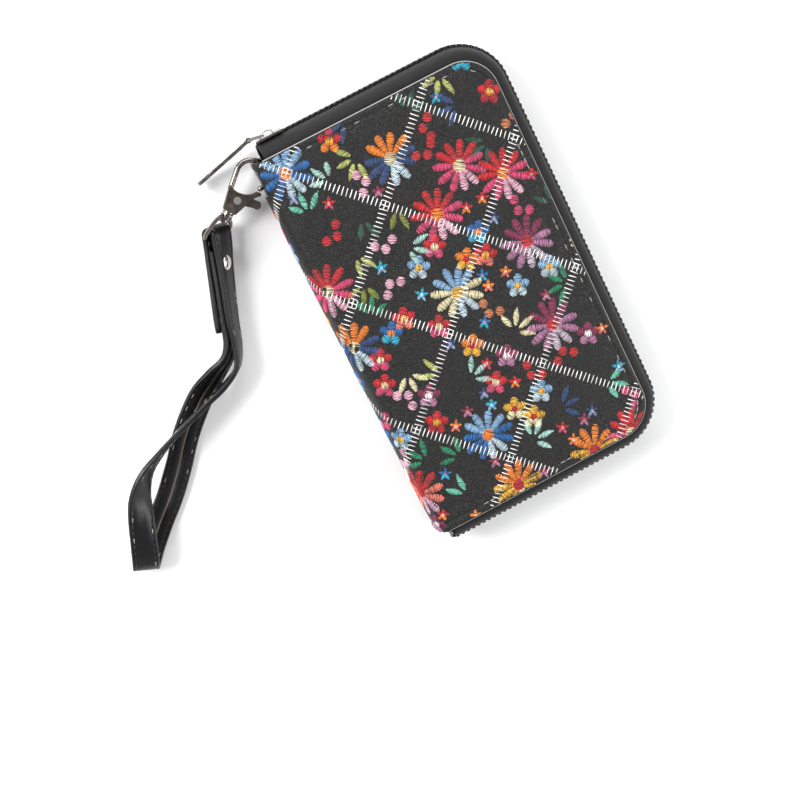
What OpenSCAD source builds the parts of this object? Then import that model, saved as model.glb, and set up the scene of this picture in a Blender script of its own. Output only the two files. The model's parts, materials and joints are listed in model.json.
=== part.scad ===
// Wristlet wallet: a zip-around wallet with card pockets and a zipped coin pocket,
// and a wrist strap that hooks onto a D-ring at the top of the spine.
// Millimetres. The closed wallet lies on its back cover: Z is up through the covers,
// X runs from the spine (-X) to the zip's long side (+X), Y runs along the spine.

/* [Wallet] */
// Length of the covers, along Y
cover_length = 186; // [182:1:190]
// Width of the closed wallet without its zip, along X
cover_width = 112; // [110:1:114]
// Thickness of the closed wallet, along Z
wallet_thick = 24; // [24:0.5:26]
// Radius of the two cover corners beside the zip's long side
corner_radius = 16; // [14:1:18]
// How far the rounded spine stands out past the two fold lines
spine_bulge = 5; // [4.5:0.5:5.5]

/* [Layers] */
// Thickness of the outer leather
leather = 1.2; // [1:0.1:1.3]
// Thickness of the stiffening board in each cover
board = 1; // [0.8:0.1:1.1]
// Thickness of the cloth lining
lining = 0.6; // [0.5:0.05:0.7]
// Thickness of one layer of card pocket
pocket = 0.5; // [0.4:0.05:0.5]

/* [Zip] */
// How far the zip tape stands out past the covers' edge
tape_bulge = 6; // [5.5:0.25:6.5]
// Thickness of the zip tape
tape = 0.8; // [0.6:0.1:0.9]
// Height of one row of zip teeth, along Z
tooth_high = 1.5; // [1.3:0.1:1.7]
// Width of one row of zip teeth, across the tape
tooth_wide = 2; // [1.8:0.1:2.2]
// Length of the slider
slider_long = 12; // [11:0.5:13]
// Length of the flat pull
pull_long = 30; // [26:1:32]

/* [Coin pocket] */
// Inside depth of the coin pocket, along Z
coin_deep = 4.8; // [4.4:0.1:5]
// Length of the coin pocket, along Y
coin_long = 168; // [160:1:170]

/* [Clasp and strap] */
// Radius of the clasp's hook, at the middle of its wire
hook_radius = 6.8; // [6.6:0.1:7]
// Diameter of the hook's wire
hook_wire = 2.4; // [2.2:0.1:2.4]
// Thickness of the clasp's body
clasp_thick = 4.4; // [4:0.1:4.6]
// Diameter of the strap ring's wire
ring_wire = 2; // [1.8:0.1:2]
// Width of the strap
strap_wide = 12; // [10:0.5:12]
// Thickness of the strap
strap_thick = 2.4; // [2:0.1:2.4]

/* [Hidden] */
$fn = 48;

half_l = cover_length / 2;
half_t = wallet_thick / 2;
zip_x = cover_width / 2;
spine_x = -cover_width / 2;
fold_x = spine_x + spine_bulge;
fold_gap = 0.4;

board_z = leather;
lining_z = leather + board;
pocket_z = leather + board + lining;
board_inset = 5;
lining_inset = 4.6;
inner_x = fold_x + 4;
pocket_top = [40, 28, 16, 4];
pocket_half = half_l - 6;

tape_end_x = fold_x + 1.4;
tape_flange = 4.2;
teeth_gap = 0.6;
teeth_z = half_t - teeth_gap / 2 - tooth_high;
tape_rise = teeth_z - leather;
teeth_out = tape_bulge - tape / 2 + tooth_wide / 2;

coin_wall = 0.6;
coin_edge_x = 42;
coin_low = half_t - coin_deep / 2;
coin_high = half_t + coin_deep / 2;

slider_x = -42.5;
slider_half_z = 5.5;
plate_in = tape_bulge - tape - 0.9;
plate_out = teeth_out + 0.3;
plate = 1;
bail_x = slider_x - 3.5;
bail_rise = 2.5;
link_end = [slider_x - 9, half_l + 9.6, half_t];
pull_turn = 15.5;
link_pin = 0.6;
pull_drop = 16.4;

coin_slider_y = coin_long / 2 - 12;
coin_slider_long = 8;

notch_y = half_l - 15;
notch_low = half_t - 7;
notch_high = half_t + 6;
ring_bar = [fold_x + 3.9, half_l - 3.4, half_t - 1];
ring_bar_half = 4.5;
ring_leg = 3.5;
ring_turn = 161.3;
d_wire = 1.8;

hook_centre = [spine_x - 1.3, half_l - 4.6, half_t - 1];
clasp_turn = -56.4;
lever_pivot = [-0.3, -12.3];
clasp_axis_x = -1;
collar_y = -18.3;
collar_long = 1.3;
eye_gap = 0.2;
eye_high = 2.2;
knob_long = 1.6;
eye_y = collar_y - collar_long - eye_gap - eye_high / 2;

strap_shift = [spine_x + 56, half_l - 93, 0];
layer_gap = 0.3;
layer_step = strap_thick + layer_gap;

// Route of the strap's middle line from the ring: X, Y, Z, then the direction of its
// width as an azimuth and an elevation. It goes out as the outer strand, turns over at
// the far end of the loop, and comes back flat and then on edge as the inner strand.
outer_strand = [
    [-80.5, 72, 10.3, 160, 45], [-82.5, 66, 9.6, 160, 50], [-84.8, 60, 9, 160, 56],
    [-89, 48.5, 8.6, 160, 62], [-93.5, 36, 8.2, 160, 66], [-97, 24.5, 7.8, 155, 72],
    [-101.5, 16, 8.2, 130, 80], [-110, 11.5, 9.2, 108, 86], [-120, 8.5, 10, 108, 86],
    [-130, 5.2, 10.4, 108, 84], [-140, 1.8, 10.8, 109, 81], [-150, -2.2, 11.2, 114, 75],
    [-159, -7, 11.8, 121, 62], [-166, -14.5, 12.6, 139, 40], [-170.5, -24, 13.2, 154, 15],
    [-174.5, -34, 13, 158, 3], [-178, -42.5, 10.8, 158, 0]
];
loop_end = [[-179.4, -45.8, 7, 158, 0]];
inner_strand = [
    [-177, -43.6, 3.4, 155, 0], [-172, -38.5, 1.9, 150, 0], [-164, -31, 1.5, 144, 0],
    [-155, -23, 1.4, 140, 0], [-145.5, -13, 1.4, 138, 0], [-137.5, -3.5, 1.6, 134, 2],
    [-130, 4, 2.2, 130, 8], [-121, 11.5, 3.4, 130, 20], [-112, 16.8, 5.3, 130, 42],
    [-104, 21, 6.6, 146, 60], [-99.5, 27, 7.1, 155, 68], [-95.8, 36.8, 7.1, 160, 66],
    [-91.2, 49.3, 7.3, 160, 62], [-86.9, 60.8, 7.5, 160, 56], [-84.9, 66, 7.8, 160, 51]
];

function unit(v) = v / norm(v);
function heading(az, el) = [cos(el) * cos(az), cos(el) * sin(az), sin(el)];
function mix(a, b, t) = a * (1 - t) + b * t;
// A point of the smooth curve through a, b, c, d, a share t of the way from b to c
function smooth(a, b, c, d, t) =
    0.5 * (2 * b + (c - a) * t + (2 * a - 5 * b + 4 * c - d) * t * t
           + (3 * b - a - 3 * c + d) * t * t * t);
function spline(p, steps) = [
    for (i = [0 : len(p) - 2])
        for (k = [0 : steps - 1])
            smooth(p[max(i - 1, 0)], p[i], p[i + 1], p[min(i + 2, len(p) - 1)], k / steps),
    p[len(p) - 1]
];
function place(s) = [s[0], s[1], s[2]];
function run_at(path, i) =
    unit(place(path[min(i + 1, len(path) - 1)]) - place(path[max(i - 1, 0)]));
// Direction of the strap's width at a station, square to the way that it runs
function across_at(path, i) =
    let (go = run_at(path, i), raw = heading(path[i][3], path[i][4]))
    unit(raw - go * (raw * go));
// Direction that the strap's outer face looks in at a station
function face_at(path, i) = unit(cross(across_at(path, i), run_at(path, i)));

strap_steps = 3;
strap_path = spline(concat(outer_strand, loop_end, inner_strand), strap_steps);
strap_turn = strap_steps * len(outer_strand);
// The strap's end wraps round this line, which is also the middle of the ring's bar
wrap_axis = place(strap_path[0]) - face_at(strap_path, 0) * layer_step;

// Skins a chain of equal rings of points into one closed solid
module skin(rings) {
    n = len(rings);
    m = len(rings[0]);
    // Each side is split into two triangles, since its four corners needn't lie in one plane
    sides = [
        for (i = [0 : n - 2])
            for (k = [0 : m - 1])
                let (a = i * m + k, b = i * m + (k + 1) % m)
                for (face = [[a, b, b + m], [a, b + m, a + m]])
                    face
    ];
    ends = [
        [for (k = [m - 1 : -1 : 0]) k],
        [for (k = [0 : m - 1]) (n - 1) * m + k]
    ];
    polyhedron(
        points = [for (r = rings) for (q = r) q],
        faces = concat(sides, ends)
    );
}

// Outline of a cover, square at the spine and rounded beside the zip
module cover_outline(inset, from_x) {
    r = corner_radius - inset;
    translate([from_x, inset - half_l])
        square([zip_x - inset - r - from_x, 2 * (half_l - inset)]);
    translate([from_x, r + inset - half_l])
        square([zip_x - inset - from_x, 2 * (half_l - inset - r)]);
    for (side = [-1, 1])
        translate([zip_x - inset - r, side * (half_l - inset - r)])
            circle(r = r);
}

module cover_layer(low, thick, inset, from_x) {
    translate([0, 0, low])
        linear_extrude(height = thick)
            cover_outline(inset, from_x);
}

// Turns a piece of the back half over into the front half
module front_half() {
    translate([0, 0, wallet_thick])
        mirror([0, 0, 1])
            children();
}

// Carries a profile, drawn as (distance out from the covers' edge, height), along one end
// of the covers and round its corner; side is 1 for the +Y end and -1 for the -Y end
module along_zip_end(from_x, side) {
    straight = zip_x - corner_radius;
    translate([from_x, 0, 0])
        scale([1, side, 1])
            translate([0, half_l, 0])
                rotate([90, 0, 90])
                    linear_extrude(height = straight - from_x)
                        children();
    translate([straight, side * (half_l - corner_radius), 0])
        rotate([0, 0, side > 0 ? 0 : -90])
            rotate_extrude(angle = 90)
                translate([corner_radius, 0])
                    children();
}

// Carries a profile along the straight long side, between the two corners
module along_zip_side() {
    translate([zip_x, corner_radius - half_l, 0])
        mirror([0, 1, 0])
            rotate([90, 0, 0])
                linear_extrude(height = cover_length - 2 * corner_radius)
                    children();
}

// Section of the tape: a flange under the cover's edge, then a curve out to the teeth
module tape_section() {
    steps = 8;
    outer = [for (i = [0 : steps])
        [tape_bulge * sin(90 * i / steps), teeth_z - tape_rise * cos(90 * i / steps)]];
    inner = [for (i = [steps : -1 : 0])
        [(tape_bulge - tape) * sin(90 * i / steps),
         teeth_z - (tape_rise - tape) * cos(90 * i / steps)]];
    polygon(concat([[-tape_flange, leather]], outer, inner, [[-tape_flange, leather + tape]]));
}

// The tape is drawn in three stretches that meet face to face: two ends and the long side
module zip_tape_end(side) {
    color("#16161a") along_zip_end(tape_end_x, side) tape_section();
}

module zip_tape_side() {
    color("#16161a") along_zip_side() tape_section();
}

module teeth_section() {
    translate([teeth_out - tooth_wide, teeth_z])
        square([tooth_wide, tooth_high]);
}

module zip_teeth() {
    color("#26262a") {
        for (side = [-1, 1])
            along_zip_end(tape_end_x + 0.6, side) teeth_section();
        along_zip_side() teeth_section();
    }
}

module cover_leather() {
    color("#1c1a1c") cover_layer(0, leather, 0, fold_x + fold_gap);
}

module cover_board() {
    color("#8a7f70") cover_layer(board_z, board, board_inset, inner_x);
}

module cover_lining() {
    color("#2b2b30") cover_layer(lining_z, lining, lining_inset, inner_x - 0.4);
}

// One layer of card pocket; layer 1 lies on the lining and reaches furthest from the spine
module card_pocket(layer) {
    low = pocket_z + (layer - 1) * pocket;
    color("#222226")
        translate([inner_x, -pocket_half, low])
            cube([pocket_top[layer - 1] - inner_x, 2 * pocket_half, pocket]);
}

module zip_end_stop() {
    color("silver")
        translate([tape_end_x - 1.6, -half_l - teeth_out - 0.4, teeth_z])
            cube([2, tooth_wide + 0.8, tooth_high]);
}

// Leather loop that holds the D-ring's bar inside the spine's cut-out
module ring_tab() {
    reach = 11;
    foot_depth = 4.7;
    foot_high = 1.8;
    wrap_r = d_wire / 2 + 0.2;
    color("#1c1a1c")
        translate(ring_bar)
            rotate([0, 0, ring_turn])
                difference() {
                    union() {
                        translate([-reach, -wrap_r - 0.9, -3.2])
                            cube([reach, 2 * wrap_r + 1.8, 6.4]);
                        translate([-reach, -wrap_r - 0.9, -foot_depth])
                            cube([3, 2 * wrap_r + 1.8, foot_high]);
                        translate([0, 0, -3.2])
                            cylinder(r = wrap_r + 0.9, h = 6.4);
                    }
                    translate([0, 0, -4])
                        cylinder(r = wrap_r, h = 8);
                }
}

module spine_leather() {
    steps = 24;
    out_x = fold_x - fold_gap;
    bulge = spine_bulge - fold_gap;
    outer = [for (i = [0 : steps])
        [out_x - bulge * sin(180 * i / steps), half_t - half_t * cos(180 * i / steps)]];
    inner = [for (i = [steps : -1 : 0])
        [out_x - (bulge - leather) * sin(180 * i / steps),
         half_t - (half_t - leather) * cos(180 * i / steps)]];
    color("#1c1a1c")
        difference() {
            translate([0, half_l, 0])
                rotate([90, 0, 0])
                    linear_extrude(height = cover_length)
                        polygon(concat(outer, inner));
            translate([spine_x - 5, notch_y, notch_low])
                cube([20, 30, notch_high - notch_low]);
        }
}

module spine_lining() {
    color("#2b2b30")
        translate([fold_x - 1.6, -half_l + 4, 4])
            cube([0.6, notch_y + half_l - 5, wallet_thick - 8]);
}

module coin_panel(low) {
    color("#222226")
        translate([fold_x - 1, -coin_long / 2, low])
            cube([coin_edge_x - fold_x + 1, coin_long - 8, coin_wall]);
    color("#222226")
        translate([inner_x + 6, coin_long / 2 - 8, low])
            cube([coin_edge_x - inner_x - 6, 8, coin_wall]);
}

module coin_pocket_ends() {
    color("#222226") {
        translate([fold_x - 1, -coin_long / 2, coin_low])
            cube([coin_edge_x - fold_x + 1, coin_wall, coin_deep]);
        translate([inner_x + 6, coin_long / 2 - coin_wall, coin_low])
            cube([coin_edge_x - inner_x - 6, coin_wall, coin_deep]);
    }
}

module coin_zip_tapes() {
    wide = coin_deep / 2 - 0.85;
    color("#16161a")
        for (low = [coin_low, coin_high - wide])
            translate([coin_edge_x - coin_wall, coin_wall - coin_long / 2, low])
                cube([coin_wall, coin_long - 2 * coin_wall, wide]);
}

module coin_zip_teeth() {
    high = 0.7;
    color("#9a9aa0")
        for (low = [half_t - 0.15 - high, half_t + 0.15])
            translate([coin_edge_x - coin_wall - 0.3, 1 - coin_long / 2, low])
                cube([coin_wall + 0.6, coin_long - 2, high]);
}

// A folded strip across the end of a bill compartment, its crease inwards
module gusset(low, high, side) {
    crease = 4;
    thin = 0.5;
    mid = (low + high) / 2;
    edge = coin_long / 2 + 4.5;
    color("#222226")
        scale([1, side, 1])
            translate([inner_x + 12, 0, 0])
                rotate([90, 0, 90])
                    linear_extrude(height = coin_edge_x - inner_x - 18)
                        polygon([
                            [edge, low], [edge - crease, mid], [edge, high],
                            [edge - thin, high], [edge - thin - crease, mid], [edge - thin, low]
                        ]);
}

module gusset_pair() {
    low = pocket_z + 4 * pocket + 0.1;
    for (side = [-1, 1])
        gusset(low, coin_low - coin_wall - 0.3, side);
}

module zip_slider() {
    color("silver") {
        for (out = [plate_in - plate, plate_out])
            translate([slider_x - slider_long / 2, half_l + out, half_t - slider_half_z])
                cube([slider_long, plate, 2 * slider_half_z]);
        translate([slider_x - slider_long / 2 + 1, half_l + plate_in - 0.1, half_t - 0.15])
            cube([3, plate_out - plate_in + 0.2, 0.3]);
    }
}

module bail(length, rise, wide) {
    rod = 0.8;
    color("silver") {
        for (x = [0, length - rod])
            translate([x, 0, -wide / 2])
                cube([rod, rise, wide]);
        translate([0, rise - rod, -wide / 2])
            cube([length, rod, wide]);
    }
}

module zip_slider_bail() {
    translate([bail_x - 1, half_l + plate_out + plate, half_t])
        bail(7, bail_rise, 2);
}

// Wire link from the bail to the pull
module pull_link() {
    pin_y = half_l + plate_out + plate + 0.9;
    from = [bail_x + 0.9, pin_y, half_t];
    along = link_end - from;
    color("silver")
        translate(from)
            rotate([0, 0, atan2(along[1], along[0])])
                for (x = [0, norm(along)]) {
                    translate([x, 0, -2.4])
                        cylinder(r = link_pin, h = 4.8);
                    translate([0, -link_pin, x == 0 ? -2.4 : 1.5])
                        cube([norm(along), 2 * link_pin, 0.9]);
                }
}

// Flat pull with a rolled eye that turns on the link's far pin
module zip_pull() {
    tip_r = 2.6;
    flat = 1.6;
    color("silver")
        translate(link_end)
            rotate([0, 0, 180 + pull_turn])
                difference() {
                    union() {
                        translate([0, 0, -1.3])
                            cylinder(r = 1.25, h = 2.6);
                        rotate([0, pull_drop, 0])
                            rotate([90, 0, 0])
                                translate([0, 0, -flat / 2])
                                    linear_extrude(height = flat) {
                                        translate([0.3, -1.2])
                                            square([5, 2.4]);
                                        translate([5.4, 0])
                                            circle(r = tip_r);
                                        translate([5.4, -tip_r])
                                            square([pull_long - 5.4 - tip_r, 2 * tip_r]);
                                        translate([pull_long - tip_r, 0])
                                            circle(r = tip_r);
                                    }
                    }
                    translate([0, 0, -3])
                        cylinder(r = link_pin + 0.06, h = 6);
                }
}

module coin_slider() {
    outs = [coin_edge_x - coin_wall - 1.4, coin_edge_x + 0.6];
    color("silver") {
        for (x = outs)
            translate([x, coin_slider_y - coin_slider_long / 2, half_t - 2])
                cube([0.8, coin_slider_long, 4]);
        translate([outs[0], coin_slider_y + coin_slider_long / 2 - 2, half_t - 0.1])
            cube([outs[1] - outs[0], 1.6, 0.2]);
    }
}

module coin_slider_bail() {
    translate([coin_edge_x + 1.4, coin_slider_y - 2, half_t])
        rotate([0, 0, -90])
            mirror([1, 0, 0])
                bail(4.4, 2, 1.4);
}

module coin_pull() {
    long = 12;
    color("silver")
        translate([coin_edge_x + 2, coin_slider_y - 0.8, half_t])
            rotate([0, 0, -90])
                rotate([90, 0, 0])
                    translate([0, 0, -0.4])
                        linear_extrude(height = 0.8)
                            difference() {
                                union() {
                                    translate([-0.3, -1.7])
                                        square([long - 1.7, 3.4]);
                                    translate([long - 2, 0])
                                        circle(r = 1.7);
                                }
                                translate([0.3, -1])
                                    square([1.7, 2]);
                            }
}

module d_ring() {
    color("silver")
        translate(ring_bar)
            rotate([0, 0, ring_turn]) {
                translate([0, 0, -ring_bar_half])
                    cylinder(d = d_wire, h = 2 * ring_bar_half);
                for (z = [-ring_bar_half, ring_bar_half]) {
                    translate([0, 0, z])
                        sphere(d = d_wire);
                    translate([0, 0, z])
                        rotate([0, 90, 0])
                            cylinder(d = d_wire, h = ring_leg);
                }
                translate([ring_leg, 0, 0])
                    rotate([90, 0, 0])
                        rotate([0, 0, -90])
                            rotate_extrude(angle = 180)
                                translate([ring_bar_half, 0])
                                    circle(d = d_wire);
            }
}

// Places a clasp piece drawn with its hook's centre at the origin and its axis along -Y
module at_clasp() {
    translate(hook_centre)
        rotate([0, 0, clasp_turn])
            children();
}

module clasp_hook() {
    foot = [-5.2, -9.4];
    leg = [-hook_radius, 0];
    color("silver")
        at_clasp() {
            rotate([0, 0, -25])
                rotate_extrude(angle = 205)
                    translate([hook_radius, 0])
                        circle(d = hook_wire);
            translate([leg[0], leg[1], 0])
                rotate([0, 0, atan2(foot[1] - leg[1], foot[0] - leg[0])])
                    rotate([0, 90, 0])
                        cylinder(d = hook_wire, h = norm(foot - leg));
            translate([hook_radius * cos(25), -hook_radius * sin(25), 0])
                sphere(d = hook_wire + 0.2);
        }
}

module clasp_body() {
    color("silver")
        at_clasp()
            difference() {
                translate([0, 0, -clasp_thick / 2])
                    linear_extrude(height = clasp_thick)
                        difference() {
                            polygon([
                                [-6.3, -8], [-4, -18.3], [2, -18.3], [6.4, -5.2], [5.4, -4.4]
                            ]);
                            translate([-1.8, -0.6])
                                circle(r = 8.4);
                        }
                translate([-2.9, -20, -0.9])
                    cube([20, 18, 1.8]);
                translate([lever_pivot[0], lever_pivot[1], -4])
                    cylinder(d = 1.6, h = 8);
                translate([-5.2, -9.4, 0])
                    rotate([0, 0, 99.7])
                        rotate([0, 90, 0])
                            cylinder(d = hook_wire, h = 9);
            }
}

module clasp_rivet() {
    color("white")
        at_clasp()
            translate([lever_pivot[0], lever_pivot[1], 0]) {
                translate([0, 0, -clasp_thick / 2])
                    cylinder(d = 1.6, h = clasp_thick);
                translate([0, 0, clasp_thick / 2])
                    cylinder(d = 3.4, h = 0.5);
                translate([0, 0, -clasp_thick / 2 - 0.5])
                    cylinder(d = 3.4, h = 0.5);
            }
}

module clasp_lever() {
    tip = [6.9, -5.4];
    lobe = [8.2, -9.9];
    color("dimgray")
        at_clasp()
            difference() {
                translate([0, 0, -0.6])
                    linear_extrude(height = 1.2)
                        union() {
                            polygon([[-0.6, -10.4], lever_pivot + [0, -1.9], [7.6, -11.7], [8.6, -8.2],
                                     [5.6, -8.2], [7.6, -5.6], [6.2, -4.9]]);
                            translate(lever_pivot)
                                circle(r = 1.9);
                            translate(lobe)
                                circle(r = 1.9);
                            translate(tip)
                                circle(r = 0.9);
                        }
                translate([lever_pivot[0], lever_pivot[1], -2])
                    cylinder(d = 1.7, h = 4);
            }
}

// Collar, shaft and knob along the clasp's axis; the strap ring's eye turns on the shaft
module swivel_post() {
    shaft_long = collar_long + 2 * eye_gap + eye_high + knob_long / 2;
    color("silver")
        at_clasp()
            translate([clasp_axis_x, collar_y, 0])
                rotate([90, 0, 0]) {
                    cylinder(d = 5.2, h = collar_long);
                    cylinder(d = 2.4, h = shaft_long);
                    translate([0, 0, shaft_long - knob_long / 2])
                        cylinder(d = 4, h = knob_long);
                }
}

module rod(a, b, d) {
    along = b - a;
    translate(a)
        rotate([0, acos(along[2] / norm(along)), atan2(along[1], along[0])])
            cylinder(d = d, h = norm(along));
}

// Wire ring: a straight bar for the strap, and arms that meet in an eye on the post
module strap_ring() {
    w = across_at(strap_path, 0);
    t = clasp_turn;
    eye = hook_centre - strap_shift
        + [clasp_axis_x * cos(t) - eye_y * sin(t), clasp_axis_x * sin(t) + eye_y * cos(t), 0];
    axle = [sin(t), -cos(t), 0];
    p = unit(w - axle * (w * axle));
    up = eye - wrap_axis;
    r = ring_wire / 2;
    // The bend points as (along the bar, share of the way to the eye), round the open wire
    bends = [
        [0, 0], [7, 0], [8.1, 0.06], [8.3, 0.18], [7.4, 0.5], [5.8, 0.76], [3.9, 0.92], [2.3, 1]
    ];
    color("silver") {
        translate(strap_shift)
            for (side = [-1, 1]) {
                path = spline([
                    for (q = bends) wrap_axis + mix(w, p, q[1]) * (side * q[0]) + up * q[1]
                ], 2);
                skin([
                    for (i = [0 : len(path) - 1])
                        let (go = run_at(path, i), out = unit(cross(go, cross(w, up))),
                             face = cross(out, go))
                        [for (a = [0 : 45 : 315]) path[i] + r * (out * cos(a) + face * sin(a))]
                ]);
            }
        at_clasp()
            translate([clasp_axis_x, eye_y + eye_high / 2, 0])
                rotate([90, 0, 0])
                    difference() {
                        cylinder(d = 5.4, h = eye_high);
                        translate([0, 0, -1])
                            cylinder(d = 2.6, h = eye_high + 2);
                    }
    }
}

// Ring of eight points round the strap's section, at one station of its route
function strap_ring_points(mid, across, face) =
    let (w = strap_wide / 2, t = strap_thick / 2, c = 0.7)
    [for (q = [[-w, -t + c], [-w + c, -t], [w - c, -t], [w, -t + c],
               [w, t - c], [w - c, t], [-w + c, t], [-w, t - c]])
        mid + across * q[0] + face * q[1]];

// Sections of the strap along its route, from one station to another
function strands(first, last) = [
    for (i = [first : last])
        strap_ring_points(place(strap_path[i]), across_at(strap_path, i), face_at(strap_path, i))
];

// The strap is one strip, drawn as two halves that meet at the far end of the loop
module strap_outer_half() {
    go = run_at(strap_path, 0);
    face = face_at(strap_path, 0);
    wrap = [
        for (i = [0 : 7])
            let (a = 180 - 22.5 * i, out = face * cos(a) - go * sin(a))
            strap_ring_points(wrap_axis + out * layer_step, across_at(strap_path, 0), out)
    ];
    // The folded tail lies two layers behind the outer strand, on the ring bar's other side
    tail = [
        for (i = [13, 11, 9, 7, 5, 3])
            let (f = face_at(strap_path, i), spread = 0.05 * max(i - 8, 0))
            strap_ring_points(place(strap_path[i]) - f * (2 * layer_step + spread),
                              across_at(strap_path, i), -f)
    ];
    color("#17171a")
        translate(strap_shift)
            skin(concat(tail, wrap, strands(0, strap_turn)));
}

module strap_inner_half() {
    color("#17171a")
        translate(strap_shift)
            skin(strands(strap_turn, len(strap_path) - 1));
}

module strap_rivet() {
    station = 6;
    face = face_at(strap_path, station);
    front = place(strap_path[station]) + face * (strap_thick / 2);
    rear = front - face * (2 * layer_step + strap_thick);
    color("silver")
        translate(strap_shift) {
            rod(rear, front, 2.4);
            rod(front, front + face * 0.9, 6.8);
            rod(rear - face * 0.7, rear, 6.8);
        }
}

cover_leather();  // back_cover
cover_board();  // back_board
cover_lining();  // back_lining
card_pocket(1);  // back_card_pocket_1
card_pocket(2);  // back_card_pocket_2
card_pocket(3);  // back_card_pocket_3
card_pocket(4);  // back_card_pocket_4
zip_tape_end(1);  // back_zip_tape_top
zip_tape_side();  // back_zip_tape_side
zip_tape_end(-1);  // back_zip_tape_bottom
zip_teeth();  // back_zip_teeth
zip_end_stop();
ring_tab();
spine_leather();
spine_lining();
coin_panel(coin_low - coin_wall);  // coin_pocket_rear
coin_panel(coin_high);  // coin_pocket_front
coin_pocket_ends();
coin_zip_tapes();
coin_zip_teeth();
front_half() cover_leather();  // front_cover
front_half() cover_board();  // front_board
front_half() cover_lining();  // front_lining
front_half() card_pocket(1);  // front_card_pocket_1
front_half() card_pocket(2);  // front_card_pocket_2
front_half() card_pocket(3);  // front_card_pocket_3
front_half() card_pocket(4);  // front_card_pocket_4
front_half() zip_tape_end(1);  // front_zip_tape_top
front_half() zip_tape_side();  // front_zip_tape_side
front_half() zip_tape_end(-1);  // front_zip_tape_bottom
front_half() zip_teeth();  // front_zip_teeth
gusset_pair();  // rear_gussets
front_half() gusset_pair();  // front_gussets
zip_slider();
zip_slider_bail();
pull_link();
zip_pull();
coin_slider();
coin_slider_bail();
coin_pull();
d_ring();
clasp_body();
clasp_hook();
clasp_rivet();
swivel_post();
clasp_lever();
strap_ring();
strap_outer_half();
strap_inner_half();
strap_rivet();
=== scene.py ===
import json
import math
import random

import bmesh
import bpy
import numpy as np
from mathutils import Matrix, Vector


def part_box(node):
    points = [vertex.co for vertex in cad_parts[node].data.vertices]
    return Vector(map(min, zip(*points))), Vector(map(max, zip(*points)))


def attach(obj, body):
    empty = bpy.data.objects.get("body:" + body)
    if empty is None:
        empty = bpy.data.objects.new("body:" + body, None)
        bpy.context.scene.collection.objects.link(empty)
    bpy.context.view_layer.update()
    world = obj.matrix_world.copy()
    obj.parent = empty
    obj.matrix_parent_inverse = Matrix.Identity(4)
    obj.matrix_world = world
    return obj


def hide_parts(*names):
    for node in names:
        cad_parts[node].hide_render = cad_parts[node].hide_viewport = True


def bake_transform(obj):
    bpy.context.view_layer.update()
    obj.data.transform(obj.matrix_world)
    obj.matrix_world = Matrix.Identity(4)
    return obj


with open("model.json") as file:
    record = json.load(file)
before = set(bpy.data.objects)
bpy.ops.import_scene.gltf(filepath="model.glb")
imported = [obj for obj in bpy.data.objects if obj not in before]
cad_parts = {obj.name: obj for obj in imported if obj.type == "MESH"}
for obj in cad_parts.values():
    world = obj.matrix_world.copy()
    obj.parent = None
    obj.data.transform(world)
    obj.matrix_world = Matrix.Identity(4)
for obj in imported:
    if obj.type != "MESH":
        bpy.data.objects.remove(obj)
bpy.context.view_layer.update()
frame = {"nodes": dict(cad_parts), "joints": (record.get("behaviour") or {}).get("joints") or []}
random.seed(7)

# Sizes are in millimetres, in the frame of the CAD model; make() turns them into metres.
MM = 0.001
HALF_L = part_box("front_cover")[1].y / MM
EDGE_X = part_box("front_cover")[1].x / MM
TOP_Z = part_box("front_cover")[1].z / MM
SPINE_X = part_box("spine_leather")[0].x / MM
FOLD_X = next(j for j in frame["joints"] if j["name"] == "spine_fold")["pos_m"][0] / MM
MID_Z = TOP_Z / 2
CORNER_R = 16.0
LEATHER = 1.2

# ---------------------------------------------------------------- camera, light and floor


CAMERA_AT = Vector((-0.1016, 0.1573, 0.798))
CAMERA_TARGET = Vector((-0.0437, -0.0310, 0.012))
UP_BEARING = math.radians(63.5)


def add_camera():
    """Looks down at the target, with the picture's upright along UP_BEARING on the floor."""
    data = bpy.data.cameras.new("camera")
    data.lens = 81
    data.sensor_width = 36
    cam = bpy.data.objects.new("camera", data)
    bpy.context.scene.collection.objects.link(cam)
    back = (CAMERA_AT - CAMERA_TARGET).normalized()
    right = Vector((math.cos(UP_BEARING), math.sin(UP_BEARING), 0)).cross(back).normalized()
    up = back.cross(right)
    cam.matrix_world = Matrix.Translation(CAMERA_AT) @ Matrix((right, up, back)).transposed().to_4x4()
    bpy.context.scene.camera = cam


def add_light(name, place, size, power, target=(0, 0, 0.01)):
    data = bpy.data.lights.new(name, "AREA")
    data.shape = "RECTANGLE"
    data.size, data.size_y = size
    data.energy = power
    lamp = bpy.data.objects.new(name, data)
    bpy.context.scene.collection.objects.link(lamp)
    lamp.location = place
    lamp.rotation_euler = (Vector(target) - Vector(place)).to_track_quat("-Z", "Y").to_euler()


def add_floor():
    """A pale floor, a little under the wallet so that the bulging leather stays above it."""
    half = 12.0
    below = 0.0007
    pale = 0.9
    mesh = bpy.data.meshes.new("floor")
    mesh.from_pydata([(-half, -half, 0), (half, -half, 0), (half, half, 0), (-half, half, 0)],
                     [], [(0, 1, 2, 3)])
    floor = bpy.data.objects.new("floor", mesh)
    bpy.context.scene.collection.objects.link(floor)
    floor.location.z = -below
    mat = bpy.data.materials.new("floor")
    mat.use_nodes = True
    mat.node_tree.nodes["Principled BSDF"].inputs["Base Color"].default_value = (pale, pale, pale, 1)
    mat.node_tree.nodes["Principled BSDF"].inputs["Roughness"].default_value = 0.9
    mesh.materials.append(mat)


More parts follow.
